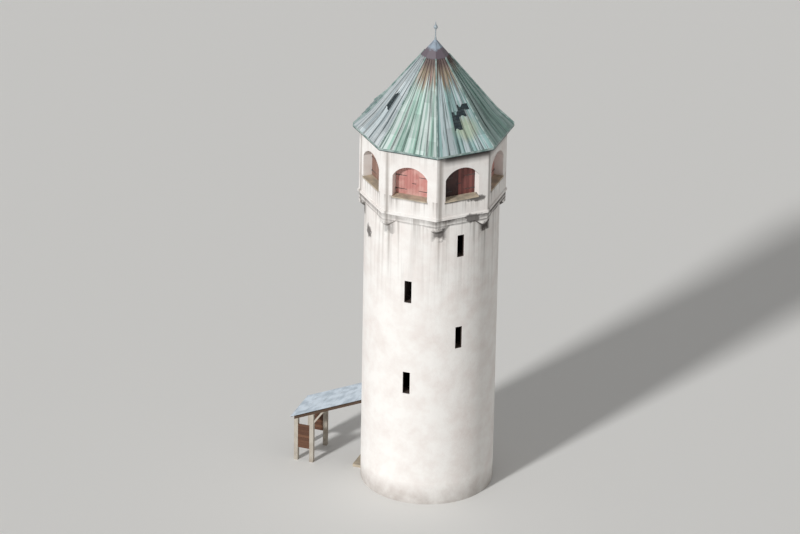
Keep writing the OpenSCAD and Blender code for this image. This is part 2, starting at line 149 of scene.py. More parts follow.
def bar(mesh, start, end, width, height, up=Vector((0, 0, 1)), tone=0.5):
    """A straight bar of rectangular section between two points."""
    along = (end - start).normalized()
    side = along.cross(up).normalized() * width / 2
    rise = side.cross(along).normalized() * height / 2
    ring = [-side - rise, side - rise, side + rise, -side + rise]
    prism(mesh, [start + p for p in ring], [end + p for p in ring], tone)


def make_piece(mesh, name, material, replaces=(), bevel=0.003):
    """Turn a mesh into a piece of the tower with its finish, and let it ride on the building."""
    bmesh.ops.recalc_face_normals(mesh, faces=mesh.faces)
    data = bpy.data.meshes.new(name)
    mesh.to_mesh(data)
    mesh.free()
    piece = bpy.data.objects.new(name, data)
    bpy.context.scene.collection.objects.link(piece)
    data.materials.append(material)
    if bevel:
        edge = piece.modifiers.new("worn edge", "BEVEL")
        edge.width = bevel
        edge.segments = 1
        edge.limit_method = "ANGLE"
    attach(piece, "root")
    if replaces:
        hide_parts(*replaces)
    print(name, len(data.polygons), "faces")


# %% [markdown]
# ## Colours and nodes
#
# Colours are picked as sRGB hex values, the way a paint chart gives them, but a shader works with
# linear light. One function turns the first into the second. Another adds a node with its settings
# and its links in one line, so that a material reads from top to bottom like a recipe.

# %% Colour and node helpers
def linear(hex_value):
    """An sRGB hex colour as the linear colour that a shader socket takes."""
    parts = [int(hex_value[i:i + 2], 16) / 255 for i in (0, 2, 4)]
    return [c / 12.92 if c <= 0.04045 else ((c + 0.055) / 1.055) ** 2.4 for c in parts] + [1.0]


def add(tree, kind, inputs=None, **settings):
    """Add a node, set its properties, and fill or link its sockets."""
    node = tree.nodes.new(kind)
    for name, value in settings.items():
        setattr(node, name, value)
    for socket, value in (inputs or {}).items():
        if isinstance(value, bpy.types.NodeSocket):
            tree.links.new(value, node.inputs[socket])
        else:
            node.inputs[socket].default_value = value
    return node


def new_material(name):
    """A node material, its empty tree, and the socket that gives the place on the building."""
    material = bpy.data.materials.new(name)
    material.use_nodes = True
    tree = material.node_tree
    tree.nodes.clear()
    return material, tree, add(tree, "ShaderNodeTexCoord").outputs["Object"]


def finish_material(tree, colour, roughness, bump=0.0, metallic=0.0, strength=1.0, depth=0.01):
    """Close a recipe: one shader takes the colour, the roughness and the bump of the surface."""
    relief = add(tree, "ShaderNodeBump",
                 {"Height": bump, "Strength": strength, "Distance": depth})
    shader = add(tree, "ShaderNodeBsdfPrincipled",
                 {"Base Color": colour, "Roughness": roughness, "Metallic": metallic,
                  "Normal": relief.outputs[0]})
    add(tree, "ShaderNodeOutputMaterial", {"Surface": shader.outputs[0]})


def give(material, *nodes):
    """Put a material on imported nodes."""
    for name in nodes:
        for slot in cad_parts[name].material_slots:
            slot.material = material
    print(material.name, "on", len(nodes), "node" if len(nodes) == 1 else "nodes")


# %% [markdown]
# ## Limewashed render
#
# The walls are brick under a hand-floated lime render, brushed with limewash. Limewash is matt and
# chalky, close to white, and never quite even: the float leaves soft hollows as wide as itself, and
# the brush leaves thin and thick places.
#
# Rain carries soot down from every ledge, so streaks start under the eaves, the sills and the
# string course and fade over the next metres. They are worst at the room's corners, where water
# runs off two faces and drips on the shaft below. All of that depends on where a point is, so each
# function here makes a mask from the position on the building, and the recipe at the end mixes them.

# %% Streaks and drips
STREAK_W = 0.09
STREAK_LIP = 0.02
DRIP_ABOVE = 0.5
DRIP_REACH = 3.0

# What feeds streaks: eaves, sills, string course and corbels' tips, each with its height, how far
# down its streaks reach, and how dense they are
STREAK_LEDGES = ((WALL_TOP, 1.1, 0.35), (SILL_Z, 0.9, 0.8), (COURSE_Z, 2.6, 0.75),
                 (SHAFT_TOP, 4.5, 0.35))


def rain_streaks(tree, z, runs):
    """Streaks that start under each ledge and fade downwards."""
    streak = add(tree, "ShaderNodeMapRange", {0: runs, 1: 0.46, 2: 0.72})
    strongest = 0.0
    for top, reach, amount in STREAK_LEDGES:
        fade = add(tree, "ShaderNodeMapRange", {0: z, 1: top - reach, 2: top, 4: amount})
        below = add(tree, "ShaderNodeMath", {0: z, 1: top + STREAK_LIP}, operation="LESS_THAN")
        part = add(tree, "ShaderNodeMath", {0: fade.outputs[0], 1: below.outputs[0]},
                   operation="MULTIPLY")
        strongest = add(tree, "ShaderNodeMath", {0: strongest, 1: part.outputs[0]},
                        operation="MAXIMUM").outputs[0]
    return add(tree, "ShaderNodeMath", {0: strongest, 1: streak.outputs[0]},
               operation="MULTIPLY").outputs[0]


def corner_drips(tree, z, wavy):
    """Stained corners of the room, and drips on the shaft below them that fade downwards."""
    arris = add(tree, "ShaderNodeMapRange", {0: wavy, 1: 0.065, 2: 0.02, 4: 0.8})
    drips = add(tree, "ShaderNodeMapRange", {0: z, 1: SHAFT_TOP - DRIP_REACH,
                                             2: SHAFT_TOP + DRIP_ABOVE})
    return add(tree, "ShaderNodeMath", {0: arris.outputs[0], 1: drips.outputs[0]},
               operation="MULTIPLY").outputs[0]


# %% [markdown]
# The dark colour of algae is painted here as shadow and shade, with some dirt: on the wall right
# under a ledge, on the undersides of the corbels, and most of all on the side away from the sun.
# Right below the tip of each corbel the shaft gets a painted shadow of the corbel.

# %% Painted shade and dirt under ledges and corbels
SHADOW_LIP = 0.005
PIER_ANGLE = 0.12
ALL_ROUND = -1.0
CORBEL_SHADOW_Z = SHAFT_TOP + 0.07
CORBEL_SHADOW_RAGGED = 1.1

# Eaves, sills, string course and the top of the corbels, each with a dark line under it that is
# painted shadow and dirt: the height, how far down the line reaches, how far from a corner it
# starts, as an angle, and the mask that thins it
LEDGE_SHADOW_ROWS = ((WALL_TOP, 0.72, ALL_ROUND, "shade"), (SILL_Z - SILL_T, 0.12, PIER_ANGLE, "broken"),
                (COURSE_Z, 0.26, ALL_ROUND, "broken"), (CORBEL_TOP, 0.12, ALL_ROUND, "broken"))


def ledge_shadow_and_dirt(tree, z, corner, masks):
    """A dark line right under each ledge, painted shadow and dirt. The one under the sills leaves out
    the piers, and the one under the eaves is painted shade, kept to the side away from the sun."""
    dirt = 0.0
    for top, reach, clear, mask in LEDGE_SHADOW_ROWS:
        line = add(tree, "ShaderNodeMapRange", {0: z, 1: top - reach, 2: top - 0.4 * reach})
        below = add(tree, "ShaderNodeMath", {0: z, 1: top + SHADOW_LIP}, operation="LESS_THAN")
        inside = add(tree, "ShaderNodeMath", {0: corner, 1: clear}, operation="GREATER_THAN")
        for share in (below, inside, masks[mask]):
            line = add(tree, "ShaderNodeMath", {0: line.outputs[0], 1: share.outputs[0]},
                       operation="MULTIPLY")
        dirt = add(tree, "ShaderNodeMath", {0: dirt, 1: line.outputs[0]},
                   operation="MAXIMUM").outputs[0]
    return dirt


def corbel_shadows(tree, z, ragged, wavy):
    """A painted shadow of each corbel: a ragged dark blot behind and below its tip."""
    height = add(tree, "ShaderNodeMath", {0: ragged, 1: CORBEL_SHADOW_RAGGED, 2: z}, operation="MULTIPLY_ADD")
    height = add(tree, "ShaderNodeMath", {0: height.outputs[0], 1: CORBEL_SHADOW_Z + CORBEL_SHADOW_RAGGED / 2},
                 operation="SUBTRACT")
    height = add(tree, "ShaderNodeMath", {0: height.outputs[0]}, operation="ABSOLUTE")
    tall = add(tree, "ShaderNodeMapRange", {0: height.outputs[0], 1: 0.40, 2: 0.20})
    near = add(tree, "ShaderNodeMapRange", {0: wavy, 1: 0.15, 2: 0.09})
    return add(tree, "ShaderNodeMath", {0: tall.outputs[0], 1: near.outputs[0]},
               operation="MULTIPLY").outputs[0]


def underside_shade(tree, z):
    """Painted shade on what faces down: the string course and the corbels, and a little of the
    arches.
    """
    facing = add(tree, "ShaderNodeNewGeometry").outputs["Normal"]
    facing = add(tree, "ShaderNodeSeparateXYZ", {0: facing}).outputs[2]
    under = add(tree, "ShaderNodeMapRange", {0: facing, 1: -0.05, 2: -0.40})
    sheltered = add(tree, "ShaderNodeMapRange", {0: z, 1: COURSE_Z, 2: COURSE_Z + 0.5,
                                                 3: 0.95, 4: 0.2})
    return add(tree, "ShaderNodeMath", {0: under.outputs[0], 1: sheltered.outputs[0]},
               operation="MULTIPLY").outputs[0]


# %% [markdown]
# Three dark patches follow no rule: one is on the shaft below a corbel, one under the end of a sill,
# and one at the string course, which is painted shadow under that ledge. Each is a distance from a
# point, made ragged by a noise. The brush reached only a few centimetres into the slits, and behind
# that the brick is bare and sooty, its dark colour partly painted shade of the slits.

# %% Patches and bare brick
PATCH_RAGGED = 0.9
PATCH_EDGE = 0.08
BRUSH_REACH = 0.04
DOOR_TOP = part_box("front_wall_beside_door")[1].z

# The angle, radius, height and reach of each patch, and how many times wider than tall it is
PATCHES = ((312.0, SHAFT_R, SHAFT_TOP - 0.80, 0.25, 1.0),
           (58.5, ROOM_R + 0.1, SILL_Z - SILL_T - 0.05, 0.40, 2.6),
           # Painted shadow under the string course on the back_right side
           (55.5, ROOM_R + 0.05, COURSE_Z - 0.12, 0.42, 1.6))


def with_patches(tree, place, ragged, grown_and_shaded):
    """The mask of algae, painted shadow and painted shade, with each ragged dark patch added."""
    for angle, radius, height, reach, flat in PATCHES:
        a = math.radians(angle)
        centre = (radius * math.cos(a), radius * math.sin(a), height)
        away = add(tree, "ShaderNodeVectorMath", {0: place, 1: centre}, operation="SUBTRACT")
        away = add(tree, "ShaderNodeVectorMath", {0: away.outputs[0], 1: (1.0, 1.0, flat)},
                   operation="MULTIPLY")
        away = add(tree, "ShaderNodeVectorMath", {0: away.outputs[0]}, operation="LENGTH")
        edge = add(tree, "ShaderNodeMath", {0: ragged, 1: PATCH_RAGGED, 2: away.outputs["Value"]},
                   operation="MULTIPLY_ADD")
        middle = reach + PATCH_RAGGED / 2
        spot = add(tree, "ShaderNodeMapRange", {0: edge.outputs[0], 1: middle + PATCH_EDGE,
                                                2: middle - PATCH_EDGE, 4: 0.85})
        grown_and_shaded = add(tree, "ShaderNodeMath", {0: grown_and_shaded, 1: spot.outputs[0]},
                    operation="MAXIMUM").outputs[0]
    return grown_and_shaded


def bare_brick_and_recess_shade(tree, place, z):
    """1 in the slits and inside the shaft, above the doorway, which is limewashed. Its dark brick
    colour is partly painted shade of those recesses.
    """
    flat = add(tree, "ShaderNodeVectorMath", {0: place, 1: (1.0, 1.0, 0.0)}, operation="MULTIPLY")
    out = add(tree, "ShaderNodeVectorMath", {0: flat.outputs[0]}, operation="LENGTH")
    bare = add(tree, "ShaderNodeMath", {0: out.outputs["Value"], 1: SHAFT_R - BRUSH_REACH},
               operation="LESS_THAN")
    for level, side in ((DOOR_TOP, "GREATER_THAN"), (CORBEL_TOP - 0.01, "LESS_THAN")):
        within = add(tree, "ShaderNodeMath", {0: z, 1: level}, operation=side)
        bare = add(tree, "ShaderNodeMath", {0: bare.outputs[0], 1: within.outputs[0]},
                   operation="MULTIPLY")
    return bare.outputs[0]


# %% [markdown]
# The recipe itself: thick and thin limewash first, then soil that runs or splashes, then algae
# with painted shadow and shade, and bare brick, partly painted shade, last. The wind drives the
# water a little past each corner, and splashes darken the foot of the wall. Three noises do for all
# masks: soft clouds, one that is narrow across the wall and long down it, and one for ragged edges.
# The brush's ridges are drawn coarser than they are, so that they still show.

# %% Limewash recipe
FLOAT_MARK = 0.35
BRUSH_MARK = 0.045
SPLASH_H = 1.1
SUNNY_SIDE = math.radians(-20)
WIND = math.radians(3.0)


def limewash(name, lime="F5F2EE", chalk="E9E1DC", dirt="877E76", algae_and_shade="4B4643", brick_in_shade="4E413A"):
    """Limewash on lime render, streaked by rain from each ledge, with algae and painted shadow and
    shade under the ledges and corbels.
    """
    material, tree, place = new_material(name)
    xyz = add(tree, "ShaderNodeSeparateXYZ", {0: place})
    z = xyz.outputs[2]

    # The three noises
    cloud = add(tree, "ShaderNodeTexNoise", {"Vector": place, "Scale": 1 / (3 * FLOAT_MARK),
                                             "Detail": 6.0, "Roughness": 0.62}).outputs[0]
    tall = add(tree, "ShaderNodeMapping", {0: place, 3: (1 / STREAK_W, 1 / STREAK_W, 0.35)})
    runs = add(tree, "ShaderNodeTexNoise", {"Vector": tall.outputs[0], "Scale": 0.55,
                                            "Detail": 4.0}).outputs[0]
    ragged = add(tree, "ShaderNodeTexNoise", {"Vector": place, "Scale": 3.0, "Detail": 6.0,
                                              "Roughness": 0.7}).outputs[0]

    # Angle from the nearest corner, as it is and moved by the wind, and how sunny the place is
    turn = add(tree, "ShaderNodeMath", {0: xyz.outputs[1], 1: xyz.outputs[0]}, operation="ARCTAN2")
    shifted = add(tree, "ShaderNodeMath", {0: turn.outputs[0], 1: CORNER}, operation="SUBTRACT")
    corner = add(tree, "ShaderNodeMath", {0: shifted.outputs[0], 1: CORNER}, operation="PINGPONG")
    driven = add(tree, "ShaderNodeMath", {0: shifted.outputs[0], 1: WIND}, operation="SUBTRACT")
    driven = add(tree, "ShaderNodeMath", {0: driven.outputs[0], 1: CORNER}, operation="PINGPONG")
    wavy = add(tree, "ShaderNodeMath", {0: runs, 1: 0.05, 2: driven.outputs[0]},
               operation="MULTIPLY_ADD").outputs[0]
    from_sun = add(tree, "ShaderNodeMath", {0: turn.outputs[0], 1: SUNNY_SIDE}, operation="SUBTRACT")
    sunny = add(tree, "ShaderNodeMath", {0: from_sun.outputs[0]}, operation="COSINE").outputs[0]

    # Thick and thin limewash, in patches a few float marks wide
    patch = add(tree, "ShaderNodeMapRange", {0: cloud, 1: 0.40, 2: 0.72})
    colour = add(tree, "ShaderNodeMix", {0: patch.outputs[0], 6: linear(lime), 7: linear(chalk)},
                 data_type="RGBA")

    # Soil: streaks, drips, and the splash zone at the foot of the wall
    foot = add(tree, "ShaderNodeMapRange", {0: z, 1: SPLASH_H, 2: 0.0})
    soil = add(tree, "ShaderNodeMath", {0: foot.outputs[0], 1: cloud}, operation="MULTIPLY")
    for mask in (rain_streaks(tree, z, runs), corner_drips(tree, z, wavy)):
        soil = add(tree, "ShaderNodeMath", {0: soil.outputs[0], 1: mask}, operation="MAXIMUM",
                   use_clamp=True)

    # Algae colour as painted shadow under ledges and corbels and painted shade on undersides,
    # stronger on the side away from the sun, and as thick as anywhere on the patches
    broken = add(tree, "ShaderNodeMapRange", {0: cloud, 1: 0.38, 2: 0.58, 3: 0.5, 4: 1.0})
    shade = add(tree, "ShaderNodeMapRange", {0: sunny, 1: 0.74, 2: 0.64})
    grown_and_shaded = ledge_shadow_and_dirt(tree, z, corner.outputs[0], {"broken": broken, "shade": shade})
    for mask in (corbel_shadows(tree, z, ragged, wavy), underside_shade(tree, z)):
        grown_and_shaded = add(tree, "ShaderNodeMath", {0: grown_and_shaded, 1: mask}, operation="MAXIMUM").outputs[0]
    # Painted shade: the side away from the sun gets more of the dark colour
    painted_shade_side = add(tree, "ShaderNodeMapRange", {0: sunny, 1: 0.95, 2: 0.6, 3: 0.45, 4: 1.0})
    grown_and_shaded = add(tree, "ShaderNodeMath", {0: grown_and_shaded, 1: painted_shade_side.outputs[0]}, operation="MULTIPLY")
    grown_and_shaded = with_patches(tree, place, ragged, grown_and_shaded.outputs[0])

    for mask, tint in ((soil.outputs[0], dirt), (grown_and_shaded, algae_and_shade),
                       (bare_brick_and_recess_shade(tree, place, z), brick_in_shade)):
        colour = add(tree, "ShaderNodeMix", {0: mask, 6: colour.outputs[2], 7: linear(tint)},
                     data_type="RGBA")

    # Relief: hollows of the float and ridges of the brush
    hollow = add(tree, "ShaderNodeTexNoise", {"Vector": place, "Scale": 1 / FLOAT_MARK,
                                              "Detail": 3.0})
    ridge = add(tree, "ShaderNodeTexNoise", {"Vector": place, "Scale": 1 / BRUSH_MARK,
                                             "Detail": 3.0})
    relief = add(tree, "ShaderNodeMath", {0: ridge.outputs[0], 1: 0.25, 2: hollow.outputs[0]},
                 operation="MULTIPLY_ADD")
    finish_material(tree, colour.outputs[2], 0.92, relief.outputs[0], strength=0.6, depth=0.03)
    return material


render_coat = limewash("limewash_on_lime_render")
give(render_coat, "front_wall_beside_door", "front_wall", "front_right_wall", "right_wall",
     "back_right_wall", "back_wall", "back_left_wall", "left_wall", "front_left_wall", "slit_jambs",
     "corbel_square", "corbel_diagonal", "parapet_square", "parapet_diagonal", "string_course",
     "corner_piers", "arch_heads_square", "arch_heads_diagonal")

# %% [markdown]
# ## Sandstone
#
# Sills, the step and the threshold are dressed sandstone. It is a fine grained stone with a bedding
# that shows as soft bands, buff where rain has washed it and grey where it hasn't. Its grains are
# too fine to show, so the relief is that of the mason's tool, with marks 24 mm apart.

# %% Sandstone recipe
BED = 0.05
TOOL_MARK = 0.024


def sandstone(name, buff="CDBEA6", grey="A39A8A"):
    """Dressed sandstone with its bedding level."""
    material, tree, place = new_material(name)
    flat = add(tree, "ShaderNodeMapping", {0: place, 3: (1.0, 1.0, 0.3 / BED)})
    beds = add(tree, "ShaderNodeTexNoise", {"Vector": flat.outputs[0], "Scale": 2.5, "Detail": 5.0})
    washed = add(tree, "ShaderNodeMapRange", {0: beds.outputs[0], 1: 0.35, 2: 0.65})
    colour = add(tree, "ShaderNodeMix", {0: washed.outputs[0], 6: linear(buff), 7: linear(grey)},
                 data_type="RGBA")
    marks = add(tree, "ShaderNodeTexNoise", {"Vector": place, "Scale": 1 / TOOL_MARK, "Detail": 4.0})
    finish_material(tree, colour.outputs[2], 0.88, marks.outputs[0], strength=0.5, depth=0.01)
    return material


give(sandstone("dressed_sandstone"), "ground_floor", "door_step", "sills")

# %% [markdown]
# ## Patinated copper
#
# The roof is sheet copper in five tapering trays to a face, joined by standing seams. Bare copper
# turns brown within a few years and green within a few decades, through salts that need rain: the
# top, which dries first, is still brown, and the brown runs down in tongues between green ones.
# A patina is a mineral crust, so the shader isn't metallic.
#
# The recipe turns each position to its own face first. There, x is the distance from the axis and
# y over x is constant along a seam, which gives both the number of a tray and the fan of streaks.
# Sheets are about 1.2 m long on the slope, which is 0.75 m seen from above. Every sheet weathers in
# its own tone, and the joints are set off by half a sheet from tray to tray.

# %% Tones of the sheets and streaks of the slope
TRAY_FAN = 2 * math.tan(CORNER) / TRAYS
SHEET_RUN = 0.75
SHEET_STEP = 0.37

# How close the streaks lie across the fan, and how short they are down the slope
LANES = 50.0
LANE_CUT = 0.75


def sheet_tones(tree, count, out, seed):
    """A random number for each sheet, from its place across the face and down the slope."""
    number = add(tree, "ShaderNodeMath", {0: count}, operation="FLOOR").outputs[0]
    step = add(tree, "ShaderNodeMath", {0: number, 1: SHEET_STEP, 2: out}, operation="MULTIPLY_ADD")
    ring = add(tree, "ShaderNodeMath", {0: step.outputs[0], 1: SHEET_RUN}, operation="SNAP")
    key = add(tree, "ShaderNodeCombineXYZ", {0: number, 1: ring.outputs[0], 2: seed})
    return add(tree, "ShaderNodeTexWhiteNoise", {"Vector": key.outputs[0]}).outputs["Value"]


def slope_streaks(tree, fan, out, seed):
    """A broad and a fine noise, both narrow across the fan and long down the slope."""
    across = add(tree, "ShaderNodeMath", {0: fan, 1: LANES}, operation="MULTIPLY")
    down = add(tree, "ShaderNodeMath", {0: out, 1: LANE_CUT}, operation="MULTIPLY")
    lane = add(tree, "ShaderNodeCombineXYZ", {0: across.outputs[0], 1: down.outputs[0],
                                              2: 7 * seed})
    broad = add(tree, "ShaderNodeTexNoise", {"Vector": lane.outputs[0], "Scale": 0.34,
                                             "Detail": 5.0, "Roughness": 0.65})
    fine = add(tree, "ShaderNodeTexNoise", {"Vector": lane.outputs[0], "Scale": 0.8, "Detail": 4.0})
    return broad.outputs[0], fine.outputs[0]


# %% [markdown]
# The green crust has three parts: pale salts, the green itself, and dark lines where water runs.
# Yellow-green lichen sits in one round patch, where water from bare boards runs over the sheet.
# Above, the metal shows nearly black oxide, bare tan copper and olive between them, and it is
# darkest at the very top.

# %% Crust, lichen and brown metal
LICHEN = "B3BF9C"
OXIDE = "4A373E"
BROWNS = ((0.36, "4C3B40"), (0.44, "8E7068"), (0.52, "85805E"), (0.62, "C2AFA5"))


def green_crust(tree, broad, fine, sheet, light, green, deep):
    """Pale salts, green crust and dark wet lines, with each sheet in its own tone."""
    pale = add(tree, "ShaderNodeMapRange", {0: broad, 1: 0.45, 2: 0.56})
    crust = add(tree, "ShaderNodeMix", {0: pale.outputs[0], 6: linear(green), 7: linear(light)},
                data_type="RGBA")
    wet = add(tree, "ShaderNodeMapRange", {0: fine, 1: 0.52, 2: 0.62, 4: 0.9})
    crust = add(tree, "ShaderNodeMix", {0: wet.outputs[0], 6: crust.outputs[2], 7: linear(deep)},
                data_type="RGBA")
    own = add(tree, "ShaderNodeMapRange", {0: sheet, 3: 0.74, 4: 1.08})
    return add(tree, "ShaderNodeVectorMath", {0: crust.outputs[2], "Scale": own.outputs[0]},
               operation="SCALE").outputs[0]


def lichen_patch(tree, turned, fine, amount):
    """The mask of one ragged patch at the break of the slope."""
    away = add(tree, "ShaderNodeVectorMath", {0: turned, 1: (BREAK_R, 0.33, BREAK_Z)},
               operation="DISTANCE")
    ragged = add(tree, "ShaderNodeMath", {0: fine, 1: 0.9, 2: away.outputs["Value"]},
                 operation="MULTIPLY_ADD")
    return add(tree, "ShaderNodeMapRange", {0: ragged.outputs[0], 1: 1.15, 2: 0.75,
                                            4: amount}).outputs[0]


def brown_metal(tree, fine, out):
    """Oxide, tan metal and olive in streaks, darkest at the top."""
    ramp = add(tree, "ShaderNodeValToRGB", {0: fine})
    stops = ramp.color_ramp.elements
    while len(stops) < len(BROWNS):
        stops.new(1.0)
    for stop, (at, shade) in zip(stops, BROWNS):
        stop.position = at
        stop.color = linear(shade)
    highest = add(tree, "ShaderNodeMapRange", {0: out, 1: 1.05, 2: 0.75, 4: 0.75})
    return add(tree, "ShaderNodeMix", {0: highest.outputs[0], 6: ramp.outputs[0],
                                       7: linear(OXIDE)}, data_type="RGBA").outputs[2]


# %% Copper recipe
def patina(name, angle, light, green, deep, brown_to, lichen, seed):
    """Green copper that is still brown near the top, on the face with this angle."""
    material, tree, place = new_material(name)
    turned = add(tree, "ShaderNodeMapping", {0: place, 2: (0, 0, -math.radians(angle))}).outputs[0]
    xyz = add(tree, "ShaderNodeSeparateXYZ", {0: turned})
    out = xyz.outputs[0]
    fan = add(tree, "ShaderNodeMath", {0: xyz.outputs[1], 1: out}, operation="DIVIDE").outputs[0]
    count = add(tree, "ShaderNodeMath", {0: fan, 1: 1 / TRAY_FAN, 2: TRAYS / 2},
                operation="MULTIPLY_ADD").outputs[0]
    broad, fine = slope_streaks(tree, fan, out, seed)
    sheet = sheet_tones(tree, count, out, seed)

    crust = green_crust(tree, broad, fine, sheet, light, green, deep)
    crust = add(tree, "ShaderNodeMix", {0: lichen_patch(tree, turned, fine, lichen), 6: crust,
                                        7: linear(LICHEN)}, data_type="RGBA")

    # Brown above, ending in tongues
    tongue = add(tree, "ShaderNodeMath", {0: broad, 1: 2.6, 2: out}, operation="MULTIPLY_ADD")
    top = add(tree, "ShaderNodeMapRange", {0: tongue.outputs[0], 1: brown_to + 1.45,
                                           2: brown_to + 1.15})
    colour = add(tree, "ShaderNodeMix", {0: top.outputs[0], 6: crust.outputs[2],
                                         7: brown_metal(tree, fine, out)}, data_type="RGBA")

    # Painted shade in the corner beside each seam, where the standing seam shades the sheet
    middle = add(tree, "ShaderNodeMath", {0: count, 1: 0.5}, operation="PINGPONG")
    seam_shade = add(tree, "ShaderNodeMapRange", {0: middle.outputs[0], 1: 0.02, 2: 0.15,
                                              3: 0.5, 4: 1.0})
    colour = add(tree, "ShaderNodeVectorMath", {0: colour.outputs[2], "Scale": seam_shade.outputs[0]},
                 operation="SCALE")

    # Sheet metal is never flat: soft dents between the seams, and the grain of the crust
    dents = add(tree, "ShaderNodeTexNoise", {"Vector": place, "Scale": 2.2, "Detail": 1.0})
    grain = add(tree, "ShaderNodeTexNoise", {"Vector": place, "Scale": 30.0, "Detail": 3.0})
    relief = add(tree, "ShaderNodeMath", {0: grain.outputs[0], 1: 0.12, 2: dents.outputs[0]},
                 operation="MULTIPLY_ADD")
    finish_material(tree, colour.outputs[0], 0.62, relief.outputs[0], strength=0.5, depth=0.04)
    return material


# For each face: its pale, green and deep tones, how far from the axis the brown ends, and how much
# lichen it has. The front_right side is bluish and pale, partly its crust and partly a painted sheen
# of the sky glancing off it; the sunny side is green, and the next one streaked and mossy.
CRUST_AND_SHEEN_TONES = {
    "front_right": ("D6DCDD", "B7C4C8", "8B999E", 0.55, 0.0),
    "right": ("D2DFDB", "9FC4B5", "648078", 1.40, 0.0),
    "back_right": ("CBD8DB", "9ABCBA", "587470", 1.30, 0.65),
    "back": ("B6CAC7", "8CB0A6", "5F7F77", 1.00, 0.0),
    "back_left": ("BCCFCA", "92B5A9", "63847B", 1.05, 0.0),
    "left": ("C2D2CE", "97BAAE", "67877F", 1.20, 0.0),
    "front_left": ("C6D5D3", "9CBDB2", "6B8B84", 1.00, 0.0),
    "front": ("CCD8D9", "A6BFBE", "74908E", 0.80, 0.0),
}
copper_on = {}
for number, (face, crust) in enumerate(CRUST_AND_SHEEN_TONES.items()):
    copper_on[face] = patina("copper_patina_" + face, FACES[face], *crust, seed=float(number))
    give(copper_on[face], "copper_" + face)
print("faces of copper:", len(copper_on))

# %% [markdown]
# ## Simple metals
#
# The cap is lead, dull blue-grey and soft, dressed by hand with a wooden tool, and its lower half is
# stained by the brown copper next to it. The rod and its ball are zinc, which weathers to a paler
# grey with a little shine. Hinges and bolts are forged iron under old dark paint. The hip battens
# are clad in the same copper as the roof, but their crust has no trays to follow, so for all four a
# plain recipe with one noise is enough.

# %% Lead, zinc, iron and hip copper
def plain_metal(name, main, mark, scale, roughness, metallic=0.0, marked_below=None):
    """A weathered metal in two tones, with a pattern of the given size in metres. The second tone
    can be kept to what lies below a height."""
    material, tree, place = new_material(name)
    stain = add(tree, "ShaderNodeTexNoise", {"Vector": place, "Scale": 1 / scale, "Detail": 5.0})
    mask = add(tree, "ShaderNodeMapRange", {0: stain.outputs[0], 1: 0.42, 2: 0.62})
    if marked_below:
        z = add(tree, "ShaderNodeSeparateXYZ", {0: place}).outputs[2]
        ragged = add(tree, "ShaderNodeMath", {0: stain.outputs[0], 1: -0.6, 2: z},
                     operation="MULTIPLY_ADD")
        low = add(tree, "ShaderNodeMapRange", {0: ragged.outputs[0], 1: marked_below - 0.20,
                                               2: marked_below - 0.35, 4: 0.9})
        mask = add(tree, "ShaderNodeMath", {0: mask.outputs[0], 1: 0.4}, operation="MULTIPLY")
        mask = add(tree, "ShaderNodeMath", {0: mask.outputs[0], 1: low.outputs[0]},
                   operation="MAXIMUM")
    colour = add(tree, "ShaderNodeMix", {0: mask.outputs[0], 6: linear(main), 7: linear(mark)},
                 data_type="RGBA")
    finish_material(tree, colour.outputs[2], roughness, stain.outputs[0], metallic,
                    strength=0.4, depth=0.02)
    return material


CAP_LOW, CAP_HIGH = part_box("roof_cap")
lead = plain_metal("dressed_lead", "93A2B0", "5B4A51", 0.22, 0.55,
                   marked_below=(CAP_LOW.z + CAP_HIGH.z) / 2)
zinc = plain_metal("weathered_zinc", "A7B2B8", "8B969C", 0.08, 0.45, 0.3)
iron = plain_metal("painted_forged_iron", "3B3D40", "5A5650", 0.06, 0.5, 0.3)
hip_copper = plain_metal("copper_patina_hips", "A3B3AF", "6E8883", 0.30, 0.6)
give(lead, "roof_cap")
give(zinc, "finial")
give(hip_copper, "hip_rolls")

# %% [markdown]
# ## Wood
#
# Boards are made one by one, so each carries its own tone, and the recipe only has to know which
# way the grain runs. Grain is a noise drawn out along the board: early and late wood lie 2 to 5 mm
# apart, which can't show at this distance, so it is drawn four times as coarse.
#
# Oak that was never painted has turned a dull grey-brown. The door and the porch's boards still have
# their brown stain, and white paint is flaking off the posts. The shutters were all painted one red,
# and on most sides it has bleached to pink. On the front_right side they are a darker brownish red.
# On the back_right side, deep in the recess, the red is darker as painted shade, and one leaf is
# nearly black, a painted shadow of the jamb.

# %% Wood recipe
GRAIN_W = 0.016
WOOD_ROUGHNESS = 0.75


